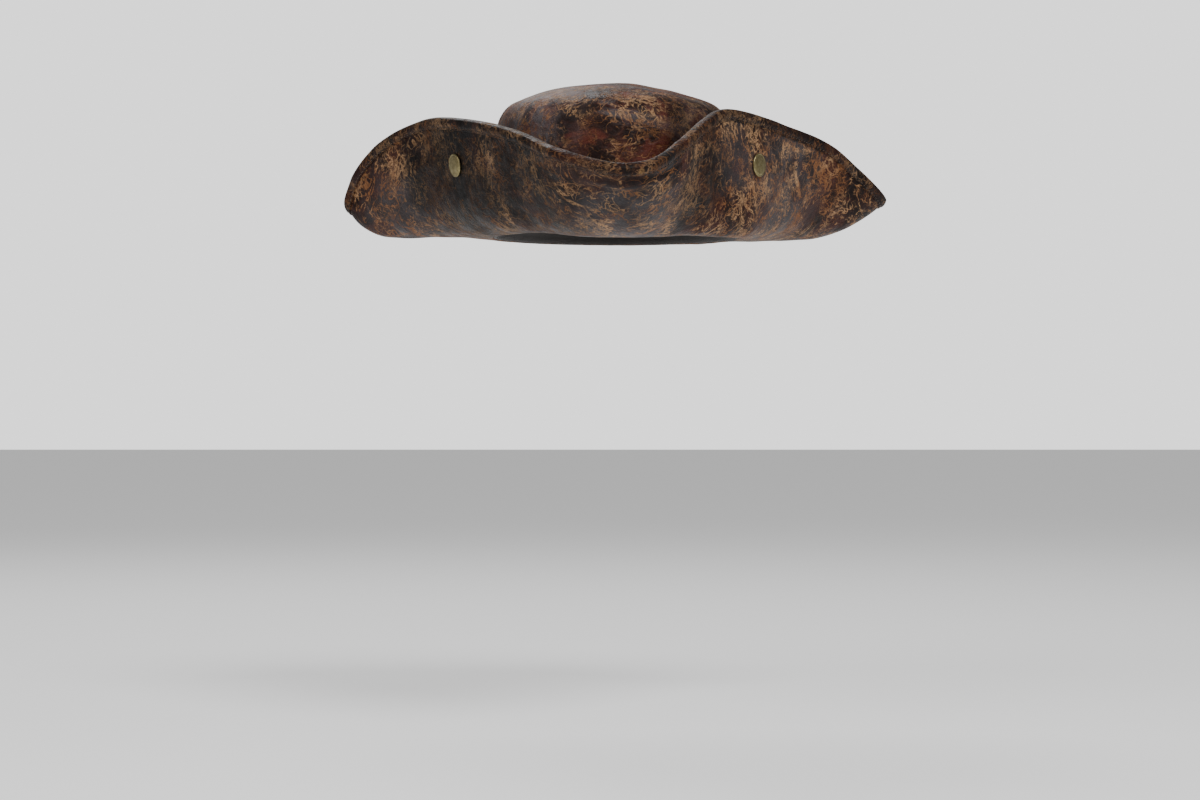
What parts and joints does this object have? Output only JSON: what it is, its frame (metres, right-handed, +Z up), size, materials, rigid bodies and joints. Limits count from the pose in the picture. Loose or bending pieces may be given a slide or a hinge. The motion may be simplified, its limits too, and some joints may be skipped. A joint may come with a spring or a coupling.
{
  "type": "pirate hat",
  "caption": "Soft tricorn hat in distressed leather: round crown, turned-up bound brim with edge wire, lining, sweatband and press studs between brim and crown.",
  "frame": {"origin": "centre of the head opening, in the plane of the seam between crown and brim", "axes": "-Y is the front of the hat, +X is the right-hand side seen from in front, +Z is up; the head comes in along +Z from below"},
  "size_m": [0.3677, 0.3244, 0.1065],
  "materials": {
    "distressed_leather": "distressed semi-gloss faux leather, near-black brown with tan crackle veins and grey worn areas",
    "binding_leather": "darker folded strip of the same faux leather, topstitched",
    "stiffener": "fused interfacing",
    "brim_interlining": "stiff felted interlining",
    "edge_wire": "spring steel wire",
    "lining": "dark satin lining",
    "sweatband": "ribbed grosgrain band",
    "seam_tape": "woven seam tape",
    "snap_cap_brass": "antique brass, brushed, bright worn rim",
    "snap_brass": "antique brass"
  },
  "bodies": {
    "root": {"brim_core": "brim_interlining", "brim_edge_binding": "binding_leather", "brim_edge_wire": "edge_wire", "brim_snap_cap_back": "snap_cap_brass", "brim_snap_cap_left": "snap_cap_brass", "brim_snap_cap_right": "snap_cap_brass", "brim_snap_socket_back": "snap_brass", "brim_snap_socket_left": "snap_brass", "brim_snap_socket_right": "snap_brass", "brim_topside": "distressed_leather", "brim_underside": "distressed_leather", "crown": "distressed_leather", "crown_lining_side": "lining", "crown_lining_tip": "lining", "crown_snap_post_back": "snap_brass", "crown_snap_post_left": "snap_brass", "crown_snap_post_right": "snap_brass", "crown_snap_stud_back": "snap_brass", "crown_snap_stud_left": "snap_brass", "crown_snap_stud_right": "snap_brass", "crown_stiffener": "stiffener", "seam_tape": "seam_tape", "sweatband": "sweatband"}
  },
  "joints": []
}
